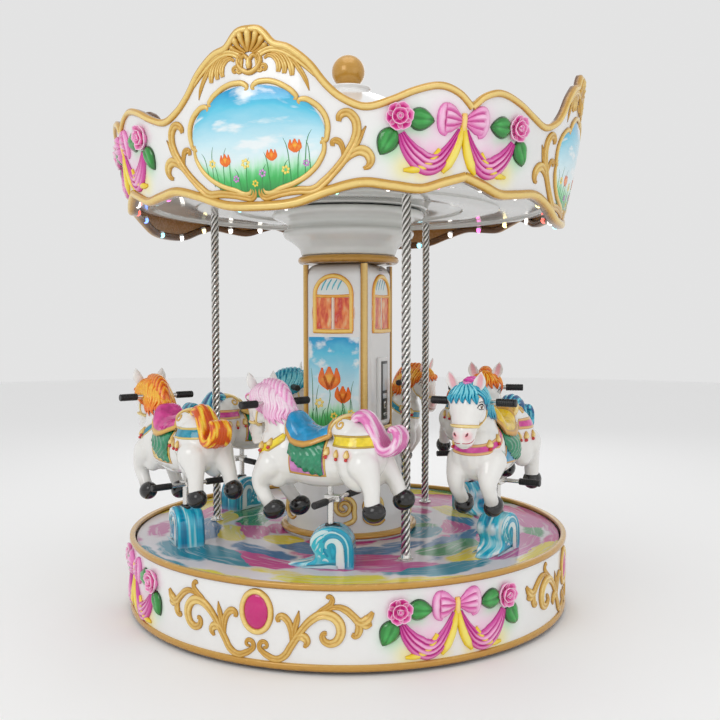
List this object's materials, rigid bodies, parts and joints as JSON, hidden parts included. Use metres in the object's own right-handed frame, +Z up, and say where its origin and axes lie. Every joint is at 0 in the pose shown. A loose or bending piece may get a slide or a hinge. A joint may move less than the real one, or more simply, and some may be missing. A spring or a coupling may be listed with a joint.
{
  "type": "fairground carousel",
  "caption": "Small fairground roundabout: horses on lifting posts ride a turning deck round a fixed column, under a painted canopy with a wavy gold-edged cornice.",
  "frame": {"origin": "centre of the base on the ground, on the turning axis", "axes": "+Z up along the turning axis, -Y towards the viewer of the picture, +X to the viewer's right"},
  "size_m": [1.9786, 1.9786, 2.37],
  "materials": {
    "white_gelcoat": "glossy white gelcoat on fibreglass",
    "canopy_paint": "glossy white fibreglass with hand-painted flowers, ribbons and gold relief",
    "gold_paint": "satin gold paint over moulded fibreglass, brushed by hand",
    "frame_paint": "dark grey paint on welded steel",
    "bearing_steel": "machined and greased",
    "stainless_steel": "polished twisted stainless tube",
    "deck_paint": "glossy white with brushed pink, blue, green and yellow strokes",
    "wave_paint": "glossy turquoise with white streaks",
    "horse_paint": "glossy white horse with painted saddle, blanket, mane and tail",
    "grip_rubber": "ribbed black rubber grips",
    "box_grey": "grey plastic with a black face plate",
    "lamp_lens": "small coloured lamp lenses"
  },
  "bodies": {
    "base": {"base_frame": "frame_paint", "base_rim_lower": "gold_paint", "base_rim_upper": "gold_paint", "base_skirt": "white_gelcoat", "bearing_ring": "bearing_steel", "centre_drum": "white_gelcoat", "drum_ring": "gold_paint", "column": "white_gelcoat", "column_trim": "gold_paint", "column_collar": "gold_paint", "capital": "white_gelcoat", "control_box": "box_grey"},
    "carousel": {"deck": "deck_paint", "deck_frame": "frame_paint", "pole_1": "stainless_steel", "pole_2": "stainless_steel", "pole_3": "stainless_steel", "wave_1": "wave_paint", "wave_2": "wave_paint", "wave_3": "wave_paint", "wave_4": "wave_paint", "wave_5": "wave_paint", "wave_6": "wave_paint", "canopy_ceiling": "white_gelcoat", "cornice_section_1": "canopy_paint", "cornice_section_2": "canopy_paint", "cornice_section_3": "canopy_paint", "cornice_section_4": "canopy_paint", "canopy_roof": "white_gelcoat", "finial": "gold_paint"},
    "horse_rider_1": {"horse_1": "horse_paint", "handlebar_1": "grip_rubber", "post_1": "stainless_steel"},
    "horse_rider_2": {"horse_2": "horse_paint", "handlebar_2": "grip_rubber", "post_2": "stainless_steel"},
    "horse_rider_3": {"horse_3": "horse_paint", "handlebar_3": "grip_rubber", "post_3": "stainless_steel"},
    "horse_rider_4": {"horse_4": "horse_paint", "handlebar_4": "grip_rubber", "post_4": "stainless_steel"},
    "horse_rider_5": {"horse_5": "horse_paint", "handlebar_5": "grip_rubber", "post_5": "stainless_steel"},
    "horse_rider_6": {"horse_6": "horse_paint", "handlebar_6": "grip_rubber", "post_6": "stainless_steel"}
  },
  "joints": [
    {"name": "carousel_turn", "type": "hinge", "parent": "base", "child": "carousel", "pos_m": [0, 0, 0.3], "axis": [0, 0, 1], "continuous": true},
    {"name": "horse_lift_1", "type": "slide", "parent": "carousel", "child": "horse_rider_1", "axis": [0, 0, 1], "range_m": [-0.035, 0.035]},
    {"name": "horse_lift_2", "type": "slide", "parent": "carousel", "child": "horse_rider_2", "axis": [0, 0, 1], "range_m": [-0.055, 0.015]},
    {"name": "horse_lift_3", "type": "slide", "parent": "carousel", "child": "horse_rider_3", "axis": [0, 0, 1], "range_m": [-0.055, 0.015]},
    {"name": "horse_lift_4", "type": "slide", "parent": "carousel", "child": "horse_rider_4", "axis": [0, 0, 1], "range_m": [-0.035, 0.035]},
    {"name": "horse_lift_5", "type": "slide", "parent": "carousel", "child": "horse_rider_5", "axis": [0, 0, 1], "range_m": [-0.02, 0.05]},
    {"name": "horse_lift_6", "type": "slide", "parent": "carousel", "child": "horse_rider_6", "axis": [0, 0, 1], "range_m": [-0.025, 0.045]}
  ]
}
